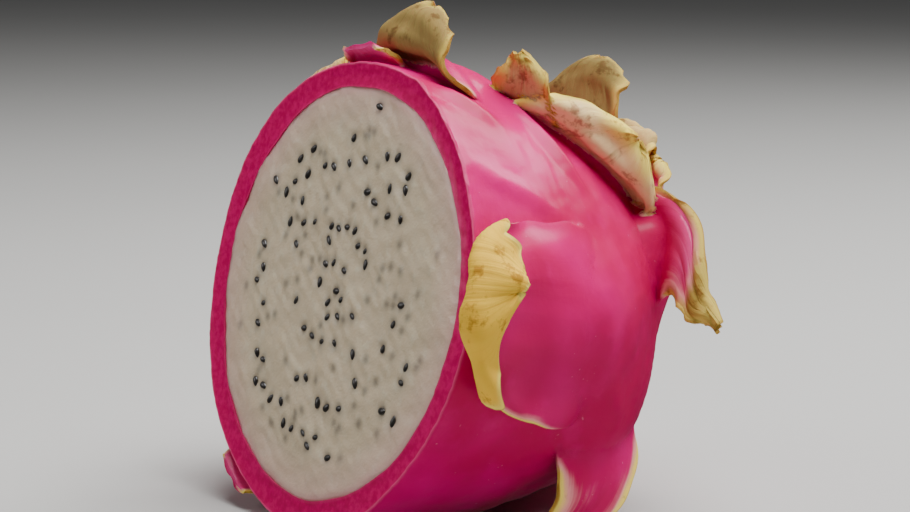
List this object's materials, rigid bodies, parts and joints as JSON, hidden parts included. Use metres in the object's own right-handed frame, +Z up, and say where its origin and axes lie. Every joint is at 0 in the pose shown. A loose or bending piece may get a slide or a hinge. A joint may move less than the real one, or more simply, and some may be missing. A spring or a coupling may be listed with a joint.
{
  "type": "cut dragon fruit",
  "caption": "Half of a dragon fruit, cut across: white flesh with small black seeds in a thick pink peel with leafy scales that roll back. Lies on its side.",
  "frame": {"origin": "middle of the small flat spot under the belly, on the surface that the fruit lies on", "axes": "+Z up; -Y the way the cut face looks, a little upwards; +Y towards the stem end; +X the fruit's side to the right of the cut face"},
  "size_m": [0.1106, 0.0793, 0.0993],
  "materials": {
    "peel": "waxy satin",
    "flesh": "moist"
  },
  "bodies": {
    "root": {"peel": "peel", "flesh": "flesh"}
  },
  "joints": []
}
